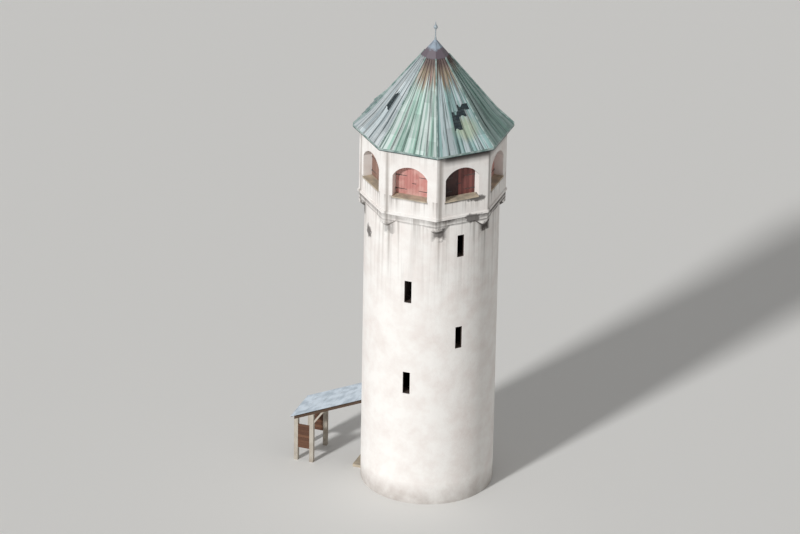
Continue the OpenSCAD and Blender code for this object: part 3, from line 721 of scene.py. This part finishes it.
def wood(name, dark, light, along=2, faded=None, fade_amount=0.5):
    """Sawn or painted wood with its grain along one axis, and paint that has faded in patches."""
    material, tree, place = new_material(name)
    pull = [1 / GRAIN_W] * 3
    pull[along] = 0.06 / GRAIN_W
    drawn = add(tree, "ShaderNodeMapping", {0: place, 3: pull})
    grain = add(tree, "ShaderNodeTexNoise", {"Vector": drawn.outputs[0], "Scale": 1.0, "Detail": 4.0})
    board = add(tree, "ShaderNodeAttribute", attribute_name="tone")
    tone = add(tree, "ShaderNodeMath", {0: grain.outputs[0], 1: 0.5, 2: board.outputs["Fac"]},
               operation="MULTIPLY_ADD")
    mask = add(tree, "ShaderNodeMapRange", {0: tone.outputs[0], 1: 0.30, 2: 1.20})
    colour = add(tree, "ShaderNodeMix", {0: mask.outputs[0], 6: linear(dark), 7: linear(light)},
                 data_type="RGBA")
    if faded:
        sun = add(tree, "ShaderNodeTexNoise", {"Vector": place, "Scale": 1.6, "Detail": 4.0})
        bleach = add(tree, "ShaderNodeMapRange", {0: sun.outputs[0], 1: 0.42, 2: 0.68,
                                                  4: fade_amount})
        colour = add(tree, "ShaderNodeMix",
                     {0: bleach.outputs[0], 6: colour.outputs[2], 7: linear(faded)},
                     data_type="RGBA")
    finish_material(tree, colour.outputs[2], WOOD_ROUGHNESS, grain.outputs[0], strength=0.5,
                    depth=0.004)
    return material


oak = wood("weathered_oak", "4E3B2C", "7A644E")
plank_stain = wood("brown_stained_boards", "4A2D1E", "75513A")
red_paint = wood("faded_red_boards", "B06E67", "CF938C", faded="E2BDB3", fade_amount=0.7)
# Painted shade: the back_right shutters sit deep in their recess, so their red is darker and the
# darkest tone paints the shadow of the jamb
red_paint_and_painted_shade = wood("red_boards_and_painted_shade", "221518", "8B504B", faded="8A6259", fade_amount=0.2)
brownish_red_paint = wood("brownish_red_boards", "6F5146", "9A7A6C", faded="B08F82", fade_amount=0.5)
white_post = wood("old_white_paint_on_posts", "B9B2A6", "D8D3C8", faded="8A7C6C", fade_amount=0.6)
give(oak, "door_frame", "wall_plate", "king_post", "porch_side_beams", "porch_cross_beams")
give(wood("worn_floor_boards", "6B5540", "8E765C", along=0), "room_floor")
give(white_post, "porch_posts")

# %% [markdown]
# The roof is boarded, and tarred felt lies on the boards under the copper. Felt is a dull blue-black
# that rubs grey, and it sinks into the joints of the boards, so level dark lines cross it. They are
# drawn 12 mm wide, which is what still shows.

# %% Roof boards under felt
ROOF_BOARD = 0.16
JOINT_HALF = 0.006
JOINT_EDGE = 0.010


def felted_boards(name, felt="16262C", worn="3A4648", joint="0A1114"):
    """Level boards under tarred felt, seen where copper is missing: the joints show through it."""
    material, tree, place = new_material(name)
    z = add(tree, "ShaderNodeSeparateXYZ", {0: place}).outputs[2]
    rise = ROOF_BOARD * math.sin(HIGH_PITCH)
    edge = add(tree, "ShaderNodeMath", {0: z, 1: rise / 2}, operation="PINGPONG")
    groove = add(tree, "ShaderNodeMapRange", {0: edge.outputs[0], 1: JOINT_HALF + JOINT_EDGE,
                                              2: JOINT_HALF})
    rub = add(tree, "ShaderNodeTexNoise", {"Vector": place, "Scale": 5.0, "Detail": 5.0})
    mask = add(tree, "ShaderNodeMapRange", {0: rub.outputs[0], 1: 0.45, 2: 0.65})
    colour = add(tree, "ShaderNodeMix", {0: mask.outputs[0], 6: linear(felt), 7: linear(worn)},
                 data_type="RGBA")
    colour = add(tree, "ShaderNodeMix", {0: groove.outputs[0], 6: colour.outputs[2],
                                         7: linear(joint)}, data_type="RGBA")
    finish_material(tree, colour.outputs[2], 0.8, rub.outputs[0], strength=0.4, depth=0.01)
    return material


give(felted_boards("roof_boards_under_felt"), "roof_deck_square", "roof_deck_diagonal")

# %% [markdown]
# ## Shutters
#
# Each opening is closed by a pair of leaves under the segmental arch. A leaf is six upright boards
# nailed to two ledges behind. The boards are cut to the curve of the arch at the top, so each one is
# an outline with a short arc, given its thickness by a prism. On the back_right side one leaf is
# nearly black, a painted shadow of the jamb. Strap hinges and a bolt finish each pair.

# %% Boarded shutter leaves
GAP = 0.006
BOARDS = 6
BOARD_T = 0.028
BOARD_JOINT = 0.003
UNEVEN = 0.004
ARC_STEPS = 3
LEDGES_AT = (0.25, 0.95)
LEDGE_T = 0.020
LEDGE_W = 0.12
LEDGE_INSET = 0.03


def arch_height(side):
    """Height of the underside of the arch, less the gap, at a step to the side of the middle."""
    r = ARCH_RADIUS - GAP
    return CROWN_Z - ARCH_RADIUS + math.sqrt(r * r - side * side)


def leaf_boards(mesh, face, start, end, chance, tones):
    """Upright boards between two steps to the side, cut to the arch."""
    width = (end - start) / BOARDS
    for i in range(BOARDS):
        left = start + i * width + BOARD_JOINT / 2
        right = start + (i + 1) * width - BOARD_JOINT / 2
        outline = [(left, SILL_Z), (right, SILL_Z)]
        for k in range(ARC_STEPS + 1):
            side = right + (left - right) * k / ARC_STEPS
            outline.append((side, arch_height(side)))
        out = SHUTTER_OUT - chance.uniform(0, UNEVEN)
        prism(mesh, [on_face(face, out, s, z) for s, z in outline],
              [on_face(face, out - BOARD_T, s, z) for s, z in outline], chance.uniform(*tones))


def leaf_ledges(mesh, face, start, end):
    """Two level ledges behind the boards."""
    back = SHUTTER_OUT - UNEVEN - BOARD_T - LEDGE_T / 2
    for height in LEDGES_AT:
        bar(mesh, on_face(face, back, start + LEDGE_INSET, SILL_Z + height),
            on_face(face, back, end - LEDGE_INSET, SILL_Z + height), LEDGE_T, LEDGE_W, tone=0.4)


half = ARCH_W / 2 - GAP
paints = {"back_right": red_paint_and_painted_shade, "front_right": brownish_red_paint}
for face in FACES:
    chance = random.Random(FACES[face])
    mesh = bmesh.new()
    for start, end in ((-half, -GAP / 2), (GAP / 2, half)):
        # The left leaf on the back_right side takes the darkest tones, a painted shadow of the jamb
        in_painted_shadow = face == "back_right" and start < 0
        leaf_boards(mesh, face, start, end, chance, (0.0, 0.1) if in_painted_shadow else (0.3, 0.9))
        leaf_ledges(mesh, face, start, end)
    make_piece(mesh, "shutter_boards_" + face, paints.get(face, red_paint),
               replaces=["shutters"])

# %% [markdown]
# A strap hinge is a flat bar that tapers to a point, forged round a knuckle at the jamb. The straps
# lie on the boards at the height of the ledges, so that their nails go through both. The bolt slides
# in two staples, which stand on the boards.

# %% Shutter ironwork
STRAP_W = 0.045
STRAP_T = 0.006
STRAP_POINT = 0.03
KNUCKLE = 0.022
KNUCKLE_HALF = 0.04
STRAP_INSET = 0.012
STRAP_END = 0.55
BOLT_AT = 0.60
BOLT_OUT = 0.012
BOLT_W = 0.016
BOLT_SIDES = (-0.05, 0.16)
STAPLE_SIDES = (0.02, 0.11)
STAPLE_OUT = 0.022
STAPLE_W = 0.012
STAPLE_H = 0.034


def strap(mesh, face, out, start, end, z):
    """A strap hinge that tapers to a point, with its knuckle at the start."""
    root, tip = STRAP_W / 2, STRAP_W / 4
    point = end + math.copysign(STRAP_POINT, end - start)
    outline = [(start, z - root), (end, z - tip), (point, z), (end, z + tip), (start, z + root)]
    prism(mesh, [on_face(face, out + STRAP_T, s, h) for s, h in outline],
          [on_face(face, out, s, h) for s, h in outline])
    low, high = [on_face(face, out + STRAP_T, start, z + turn * KNUCKLE_HALF) for turn in (-1, 1)]
    bar(mesh, low, high, KNUCKLE, KNUCKLE, up=Vector((1, 1, 0)))


mesh = bmesh.new()
for face in FACES:
    for height in LEDGES_AT:
        for turn in (-1, 1):
            strap(mesh, face, SHUTTER_OUT, turn * (half - STRAP_INSET), turn * (half - STRAP_END),
                  SILL_Z + height)
    bolt_z = SILL_Z + BOLT_AT
    left, right = [on_face(face, SHUTTER_OUT + BOLT_OUT, side, bolt_z) for side in BOLT_SIDES]
    bar(mesh, left, right, BOLT_W, BOLT_W)
    for side in STAPLE_SIDES:
        bar(mesh, on_face(face, SHUTTER_OUT - UNEVEN, side, bolt_z),
            on_face(face, SHUTTER_OUT + STAPLE_OUT, side, bolt_z), STAPLE_W, STAPLE_H)
make_piece(mesh, "shutter_ironwork", iron, bevel=0)

# %% [markdown]
# ## Copper details
#
# A tray is longer than a sheet, so each is made of four, hooked together by flat welts, which show
# as low steps across it. The welts of neighbouring trays are set off, because four layers of metal
# in one place won't fold. Only at the bell cast, where the slope changes, is there one on every
# tray at the same height. A welt is a low prism that sinks 2 mm into the sheet, so no gap shows.

# %% Cross welts
WELT_W = 0.045
WELT_T = 0.010
SEAM_HALF = 0.014
WELT_SINK = 0.002

# Rows of welts as distances from the axis, which neighbouring trays take in turn
WELT_ROWS = ((BREAK_R + 0.03,), (1.80, 1.44), (3.12, 3.24))


def tray_edges(tray, r):
    """Both sides of a tray at a distance from the axis, clear of its seams."""
    low = (-TRAYS / 2 + tray) * TRAY_FAN * r
    return low + SEAM_HALF, low + TRAY_FAN * r - SEAM_HALF


def welt(mesh, face, tray, r):
    """A flat fold across one tray, lying on the copper."""
    pitch = LOW_PITCH if r > BREAK_R else HIGH_PITCH
    run = WELT_W * math.cos(pitch)
    rings = []
    for distance in (r, r - run):
        left, right = tray_edges(tray, distance)
        low = roof_z(distance) - WELT_SINK
        high = roof_z(distance) + WELT_T
        rings.append([on_face(face, distance, left, low), on_face(face, distance, right, low),
                      on_face(face, distance, right, high), on_face(face, distance, left, high)])
    prism(mesh, rings[0], rings[1])


for face in FACES:
    mesh = bmesh.new()
    for tray in range(TRAYS):
        for row in WELT_ROWS:
            welt(mesh, face, tray, row[tray % len(row)])
    make_piece(mesh, "cross_welts_" + face, copper_on[face], bevel=0)

# %% [markdown]
# Two places have lost their copper. Wind lifts a sheet until its welt lets go, so the sheets above
# and beside a hole keep bent tongues of torn metal. Each tongue is a strip in four short steps that
# curls up from the surface, a little more with every step, and gets narrower.

# %% Torn sheet beside the holes
TEAR_STEPS = 4
TEAR_T = 0.004
TEAR_LAP = 0.02

# For each tongue: the face, the distance from the axis where it starts, its left and right side,
# its length, which is negative where it points up the slope, and the angle that it curls by
TEARS = (("front_right", 1.83, -0.12, 0.00, 0.22, 0.5),
         ("front_right", 1.83, 0.03, 0.12, 0.14, 0.9),
         ("front_right", 2.44, -0.17, 0.02, -0.12, 0.8),
         ("back_right", 2.00, 0.25, 0.47, 0.16, 0.7),
         ("back_right", 2.19, -0.05, 0.13, 0.20, 0.6),
         ("back_right", 2.19, 0.00, 0.10, 0.12, 1.1),
         ("back_right", 2.38, 0.23, 0.50, -0.10, 0.9),
         ("back_right", 2.74, -0.16, 0.05, -0.10, 0.7))


def tongue(mesh, face, r, left, right, length, curl):
    """A torn strip that starts under the whole sheet, runs up or down the slope, and curls."""
    slope = Vector((math.cos(HIGH_PITCH), -math.sin(HIGH_PITCH)))
    square = Vector((math.sin(HIGH_PITCH), math.cos(HIGH_PITCH)))
    at = Vector((r, roof_z(r))) - slope * math.copysign(TEAR_LAP, length)
    rings = []
    for k in range(TEAR_STEPS + 1):
        share = k / TEAR_STEPS
        narrow = 0.5 * share * (right - left)
        sides = (left + 0.3 * narrow, right - narrow)
        up = at + square * TEAR_T
        rings.append([on_face(face, at.x, side, at.y) for side in sides]
                     + [on_face(face, up.x, side, up.y) for side in reversed(sides)])
        bend = curl * share
        step = slope * math.cos(bend) * length + square * math.sin(bend) * abs(length)
        at = at + step / TEAR_STEPS
    for near, far in zip(rings, rings[1:]):
        prism(mesh, near, far)


for face in ("front_right", "back_right"):
    mesh = bmesh.new()
    for tear in TEARS:
        if tear[0] == face:
            tongue(mesh, *tear)
    make_piece(mesh, "torn_sheet_" + face, copper_on[face], bevel=0)

# %% [markdown]
# At the eaves the copper is turned down over a drip, so water leaves the roof clear of the wall. It
# is one straight strip to each face, mitred at the corners.

# %% Drip at the eaves
DRIP_T = 0.006
DRIP_H = 0.095
outer = EAVES_R + DRIP_T
mesh = bmesh.new()
for face in FACES:
    rings = []
    for turn in (-1, 1):
        near = turn * EAVES_R * math.tan(CORNER)
        far = turn * outer * math.tan(CORNER)
        rings.append([on_face(face, EAVES_R, near, EAVES_Z - DRIP_H),
                      on_face(face, outer, far, EAVES_Z - DRIP_H),
                      on_face(face, outer, far, EAVES_Z), on_face(face, EAVES_R, near, EAVES_Z)])
    prism(mesh, rings[0], rings[1])
make_piece(mesh, "eaves_drip", hip_copper, bevel=0)

# %% [markdown]
# ## Door
#
# The entrance is a plank door on ledges, hung on long strap hinges, with a pull handle on a plate.
# It replaces the plain leaf of the frame and keeps its place and its thickness.

# %% Plank door
DOOR_LOW, DOOR_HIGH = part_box("door_leaf")
DOOR_PLANKS = 6
PLANK_GAP = 0.004
PLANK_T = 0.035
PLANK_UNEVEN = 0.003
DOOR_LEDGES_AT = (0.45, 1.20, 1.95)
DOOR_LEDGE_T = 0.024
DOOR_LEDGE_W = 0.14
DOOR_LEDGE_INSET = 0.03
mesh = bmesh.new()
chance = random.Random(11)
plank_w = (DOOR_HIGH.x - DOOR_LOW.x) / DOOR_PLANKS
for i in range(DOOR_PLANKS):
    left = DOOR_LOW.x + i * plank_w + PLANK_GAP / 2
    right = left + plank_w - PLANK_GAP
    ring = [(left, DOOR_LOW.z), (right, DOOR_LOW.z), (right, DOOR_HIGH.z), (left, DOOR_HIGH.z)]
    front = DOOR_LOW.y + chance.uniform(0, PLANK_UNEVEN)
    prism(mesh, [Vector((x, front, z)) for x, z in ring],
          [Vector((x, front + PLANK_T, z)) for x, z in ring], chance.uniform(0.2, 0.9))
ledge_y = DOOR_HIGH.y - DOOR_LEDGE_T / 2
for height in DOOR_LEDGES_AT:
    bar(mesh, Vector((DOOR_LOW.x + DOOR_LEDGE_INSET, ledge_y, DOOR_LOW.z + height)),
        Vector((DOOR_HIGH.x - DOOR_LEDGE_INSET, ledge_y, DOOR_LOW.z + height)),
        DOOR_LEDGE_T, DOOR_LEDGE_W, tone=0.4)
make_piece(mesh, "door_planks", plank_stain, replaces=["door_leaf"])

# %% Door hinges and handle
DOOR_STRAPS_AT = (0.45, 1.75)
DOOR_STRAP_FROM = 0.01
DOOR_STRAP_TO = 0.72
HANDLE_X = DOOR_HIGH.x - 0.10
Y_UP = Vector((0, 1, 0))
mesh = bmesh.new()
for height in DOOR_STRAPS_AT:
    strap(mesh, "front", -DOOR_LOW.y, DOOR_LOW.x + DOOR_STRAP_FROM, DOOR_LOW.x + DOOR_STRAP_TO,
          DOOR_LOW.z + height)

# The plate and the grip are upright: their ends' heights, how far out they are, width and thickness
for low, high, out, width, thick in ((0.88, 1.12, 0.004, 0.07, 0.006),
                                     (0.94, 1.06, 0.040, 0.018, 0.018)):
    bar(mesh, Vector((HANDLE_X, DOOR_LOW.y - out, DOOR_LOW.z + low)),
        Vector((HANDLE_X, DOOR_LOW.y - out, DOOR_LOW.z + high)), width, thick, up=Y_UP)

# Two stays carry the grip on the plate
for height in (0.955, 1.045):
    bar(mesh, Vector((HANDLE_X, DOOR_LOW.y - 0.001, DOOR_LOW.z + height)),
        Vector((HANDLE_X, DOOR_LOW.y - 0.040, DOOR_LOW.z + height)), 0.014, 0.014)
make_piece(mesh, "door_ironwork", iron, bevel=0)

# %% [markdown]
# ## Porch
#
# The porch roof is profiled steel sheet on battens, galvanised and weathered to a dull pale grey.
# Its waves run down the slope, so the section across the roof is one wavy outline with a thin lower
# copy, and the sheet is that outline pulled from the wall to the outer edge. At the wall it is cut
# to the curve of the shaft.

# %% Profiled sheet
PORCH_LOW, PORCH_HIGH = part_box("porch_roof")
PORCH_PITCH = math.radians(24)
SHEET_T = 0.003
WAVE = 0.15
WAVE_H = 0.030
STEPS_IN_WAVE = 8

# As shares of a wave, from its middle: where the flat crest ends, and where the flank reaches the
# valley
CREST_HALF = 1 / 8
FLANK_END = 1 / 3
sheet_steel = plain_metal("dull_galvanised_steel", "C3CDD6", "A3AFB9", 0.5, 0.45, 0.25)


def porch_top(y):
    """Height of the roof surface of the porch at a place along its run."""
    return PORCH_HIGH.z - (PORCH_HIGH.y - y) * math.tan(PORCH_PITCH)


def wall_y(x):
    """Where the round wall is, on the entrance side, at a step to the side of the axis."""
    return -math.sqrt(SHAFT_R ** 2 - x ** 2)


def wave_lift(x):
    """Height of the sheet above its valleys at a place across the roof: flat, up, flat, down."""
    off_crest = abs((x - PORCH_LOW.x) / WAVE % 1.0 - 0.5)
    return WAVE_H * min(1.0, max(0.0, (FLANK_END - off_crest) / (FLANK_END - CREST_HALF)))


mesh = bmesh.new()
porch_w = PORCH_HIGH.x - PORCH_LOW.x
steps = int(round(porch_w / WAVE)) * STEPS_IN_WAVE
columns = [PORCH_LOW.x + porch_w * i / steps for i in range(steps + 1)]
rings = []
for ends in ([wall_y(x) for x in columns], [PORCH_LOW.y] * len(columns)):
    upper = [Vector((x, y, porch_top(y) - WAVE_H + wave_lift(x))) for x, y in zip(columns, ends)]
    lower = [p - Vector((0, 0, SHEET_T)) for p in reversed(upper)]
    rings.append([mesh.verts.new(p) for p in upper + lower])
for i in range(len(rings[0])):
    j = (i + 1) % len(rings[0])
    mesh.faces.new((rings[0][i], rings[0][j], rings[1][j], rings[1][i]))
for ring in rings:
    for i in range(steps):
        mesh.faces.new((ring[i], ring[i + 1], ring[-2 - i], ring[-1 - i]))
make_piece(mesh, "porch_sheets", sheet_steel, replaces=["porch_roof"], bevel=0)

# %% Battens under the sheet
BATTENS = 6
BATTEN_W = 0.06
BATTEN_T = 0.036
BATTEN_INSET = 0.02
mesh = bmesh.new()
chance = random.Random(5)
first_y = -SHAFT_R - BATTEN_W
last_y = PORCH_LOW.y + BATTEN_W
for i in range(BATTENS):
    y = first_y - i * (first_y - last_y) / (BATTENS - 1)
    z = porch_top(y) - WAVE_H - SHEET_T - BATTEN_T / 2
    bar(mesh, Vector((PORCH_LOW.x + BATTEN_INSET, y, z)),
        Vector((PORCH_HIGH.x - BATTEN_INSET, y, z)), BATTEN_W, BATTEN_T,
        tone=chance.uniform(0.3, 0.8))
make_piece(mesh, "porch_battens", oak, replaces=["porch_roof"])

# %% [markdown]
# Level boards close both sides of the porch at its outer end. They are as long as the plain panel
# that they replace, a little thinner, and an open joint of 8 mm lets the wood move.

# %% Porch boarding
BOARD_LOW, BOARD_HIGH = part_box("porch_boarding")
PANEL_T = 0.04
ROWS = 9
ROW_INSET = 0.006
ROW_LIFT = 0.003
ROW_GAP = 0.008
mesh = bmesh.new()
chance = random.Random(8)
row_h = (BOARD_HIGH.z - BOARD_LOW.z) / ROWS
for x in (BOARD_LOW.x, BOARD_HIGH.x - PANEL_T):
    for i in range(ROWS):
        left, right = x + ROW_INSET, x + PANEL_T - ROW_INSET
        low = BOARD_LOW.z + i * row_h + ROW_LIFT
        high = low + row_h - ROW_GAP
        ring = [(left, low), (right, low), (right, high), (left, high)]
        prism(mesh, [Vector((a, BOARD_LOW.y, b)) for a, b in ring],
              [Vector((a, BOARD_HIGH.y, b)) for a, b in ring], chance.uniform(0.2, 0.9))
make_piece(mesh, "porch_boards", plank_stain, replaces=["porch_boarding"])

# %% [markdown]
# ## Floor, light and camera
#
# A pale floor takes the shadow and stays out of the way. One sun, low and from the left as in the
# view that the tower is known from, is softened until its shadows have a gentle edge, and a pale
# world fills them. The levels add up to about one on a wall that faces the light, so a colour
# renders about as it is written.

# %% Floor
FLOOR_REACH = 400
floor_mesh = bmesh.new()
bmesh.ops.create_grid(floor_mesh, x_segments=1, y_segments=1, size=FLOOR_REACH)
floor_data = bpy.data.meshes.new("floor")
floor_mesh.to_mesh(floor_data)
floor_mesh.free()
floor = bpy.data.objects.new("floor", floor_data)
bpy.context.scene.collection.objects.link(floor)
paper, tree = new_material("pale_floor")[:2]
finish_material(tree, linear("ECEBE8"), 0.9)
floor_data.materials.append(paper)
print("floor reaches", FLOOR_REACH, "m each way")

# %% Light
SUN_HEIGHT = math.radians(27)
SUN_STRENGTH = 2.4
FILL = 0.29
sun_data = bpy.data.lights.new("low_sun", "SUN")
sun_data.energy = SUN_STRENGTH
sun_data.angle = math.radians(6)
sun = bpy.data.objects.new("low_sun", sun_data)
bpy.context.scene.collection.objects.link(sun)
towards_sun = Vector((math.cos(SUNNY_SIDE) * math.cos(SUN_HEIGHT),
                      math.sin(SUNNY_SIDE) * math.cos(SUN_HEIGHT), math.sin(SUN_HEIGHT)))
sun.rotation_mode = "QUATERNION"
sun.rotation_quaternion = towards_sun.to_track_quat("Z", "Y")

world = bpy.data.worlds.new("pale_sky")
bpy.context.scene.world = world
world.use_nodes = True
sky = world.node_tree
sky.nodes.clear()
seen = add(sky, "ShaderNodeLightPath")
either = add(sky, "ShaderNodeMath", {0: seen.outputs["Is Camera Ray"],
                                     1: seen.outputs["Is Glossy Ray"]}, operation="MAXIMUM")
any_ray = add(sky, "ShaderNodeMath", {0: either.outputs[0],
                                      1: seen.outputs["Is Transmission Ray"]}, operation="MAXIMUM")
level = add(sky, "ShaderNodeMapRange", {0: any_ray.outputs[0], 3: FILL, 4: 1.0})
air = add(sky, "ShaderNodeBackground", {"Color": linear("FFFFFF"), "Strength": level.outputs[0]})
add(sky, "ShaderNodeOutputWorld", {"Surface": air.outputs[0]})
print("sun", SUN_STRENGTH, "and fill", FILL)

# %% [markdown]
# The tower is known from the air, from 26 degrees above the horizon and between two of its faces.
# That view looks 2.4 degrees past the tower, and perspective leans its uprights by a degree. The
# camera here looks straight at the tower, and a small roll about its line of sight gives the same
# lean: the part of that turn that lies along a line of sight 26 degrees down.

# %% Camera
VIEW_AZIMUTH = math.radians(109.5)
VIEW_HEIGHT = math.radians(26)
LOOKED_PAST = math.radians(2.4)
ROLL = LOOKED_PAST * math.sin(VIEW_HEIGHT)
FRAME_FILL = 0.90
ASPECT = 800 / 534
SHAFT_SIDE = 1.2
EAVES_SIDE = 1.3
camera_data = bpy.data.cameras.new("camera")
camera_data.lens = 250
camera_data.sensor_width = 36
camera = bpy.data.objects.new("camera", camera_data)
bpy.context.scene.collection.objects.link(camera)
bpy.context.scene.camera = camera
back = Vector((math.sin(VIEW_AZIMUTH) * math.cos(VIEW_HEIGHT),
               -math.cos(VIEW_AZIMUTH) * math.cos(VIEW_HEIGHT), math.sin(VIEW_HEIGHT)))
camera.rotation_mode = "QUATERNION"
camera.rotation_quaternion = Quaternion(back, ROLL) @ back.to_track_quat("Z", "Y")
axes = camera.rotation_quaternion.to_matrix()
across, upwards = axes.col[0], axes.col[1]

# The points that have to be in the picture: the tip, the shaft's foot, the eaves and the porch
outline = [Vector((0, 0, cad_box[1].z))]
for turn in (-1, 1):
    outline += [on_face(face, SHAFT_R, turn * SHAFT_SIDE, 0) for face in FACES]
    outline += [on_face(face, EAVES_R, turn * EAVES_SIDE, EAVES_Z) for face in FACES]
outline += [Vector((x, PORCH_LOW.y, PORCH_LOW.z)) for x in (PORCH_LOW.x, PORCH_HIGH.x)]
ups = [p.dot(upwards) for p in outline]
rights = [p.dot(across) for p in outline]
ins = sum(p.dot(back) for p in outline) / len(outline)
middle = across * (min(rights) + max(rights)) / 2 + upwards * (min(ups) + max(ups)) / 2 + back * ins
seen_height = (max(ups) - min(ups)) / FRAME_FILL
distance = seen_height * ASPECT * camera_data.lens / camera_data.sensor_width
camera.location = middle + back * distance
camera_data.clip_end = 4 * distance
print("camera at", round(distance, 1), "m, frame height", round(seen_height, 2), "m")
bpy.context.scene.view_settings.view_transform = "Standard"
